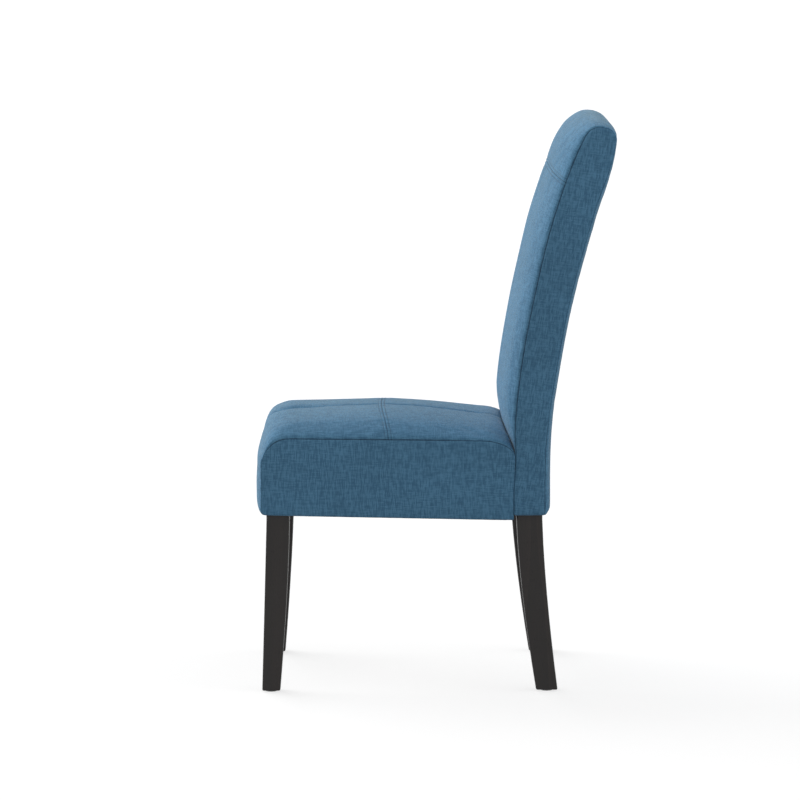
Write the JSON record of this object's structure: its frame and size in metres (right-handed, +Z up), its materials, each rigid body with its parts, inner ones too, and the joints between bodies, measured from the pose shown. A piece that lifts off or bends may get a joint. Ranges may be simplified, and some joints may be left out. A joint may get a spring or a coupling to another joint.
{
  "type": "upholstered dining chair",
  "caption": "High-backed dining chair, fully upholstered in blue woven cloth, with a crowned seat, a sabre-curved back with stitched seams, and dark stained tapered wooden legs.",
  "frame": {"origin": "on the floor, at the middle of the chair's width and depth", "axes": "+Z up; the chair faces -Y; +X is the sitter's left, square to the plane of symmetry"},
  "size_m": [0.465, 0.6294, 0.9995],
  "materials": {
    "fabric": "matt woven cloth, blue with lighter and darker threads",
    "foam": "open-cell foam with polyester wadding",
    "frame_wood": "sawn and planed, unfinished",
    "stained_wood": "dark brown stain under satin lacquer",
    "webbing": "woven elastic webbing",
    "steel": "zinc plated",
    "nylon": "moulded, matt black",
    "dust_cloth": "thin non-woven cloth"
  },
  "bodies": {
    "root": {"back_cover": "fabric", "back_foam": "foam", "back_lower_rail": "frame_wood", "back_post_left": "stained_wood", "back_post_right": "stained_wood", "back_strap_1": "webbing", "back_strap_2": "webbing", "back_strap_3": "webbing", "back_strap_4": "webbing", "back_strap_5": "webbing", "back_top_rail": "frame_wood", "dust_cover": "dust_cloth", "front_block_screw_left_lower": "steel", "front_block_screw_left_upper": "steel", "front_block_screw_right_lower": "steel", "front_block_screw_right_upper": "steel", "front_corner_block_left": "frame_wood", "front_corner_block_right": "frame_wood", "front_leg_left": "stained_wood", "front_leg_right": "stained_wood", "glide_front_left": "nylon", "glide_front_right": "nylon", "glide_rear_left": "nylon", "glide_rear_right": "nylon", "rear_block_screw_left_lower": "steel", "rear_block_screw_left_upper": "steel", "rear_block_screw_right_lower": "steel", "rear_block_screw_right_upper": "steel", "rear_corner_block_left": "frame_wood", "rear_corner_block_right": "frame_wood", "seat_bolt_left_lower": "steel", "seat_bolt_left_upper": "steel", "seat_bolt_right_lower": "steel", "seat_bolt_right_upper": "steel", "seat_cover": "fabric", "seat_foam": "foam", "seat_front_rail": "frame_wood", "seat_insert_left_lower": "steel", "seat_insert_left_upper": "steel", "seat_insert_right_lower": "steel", "seat_insert_right_upper": "steel", "seat_rear_rail": "frame_wood", "seat_side_rail_left": "frame_wood", "seat_side_rail_right": "frame_wood", "seat_strap_cross_1": "webbing", "seat_strap_cross_2": "webbing", "seat_strap_cross_3": "webbing", "seat_strap_cross_4": "webbing", "seat_strap_long_1": "webbing", "seat_strap_long_2": "webbing", "seat_strap_long_3": "webbing", "seat_strap_long_4": "webbing", "seat_washer_left_lower": "steel", "seat_washer_left_upper": "steel", "seat_washer_right_lower": "steel", "seat_washer_right_upper": "steel"}
  },
  "joints": []
}
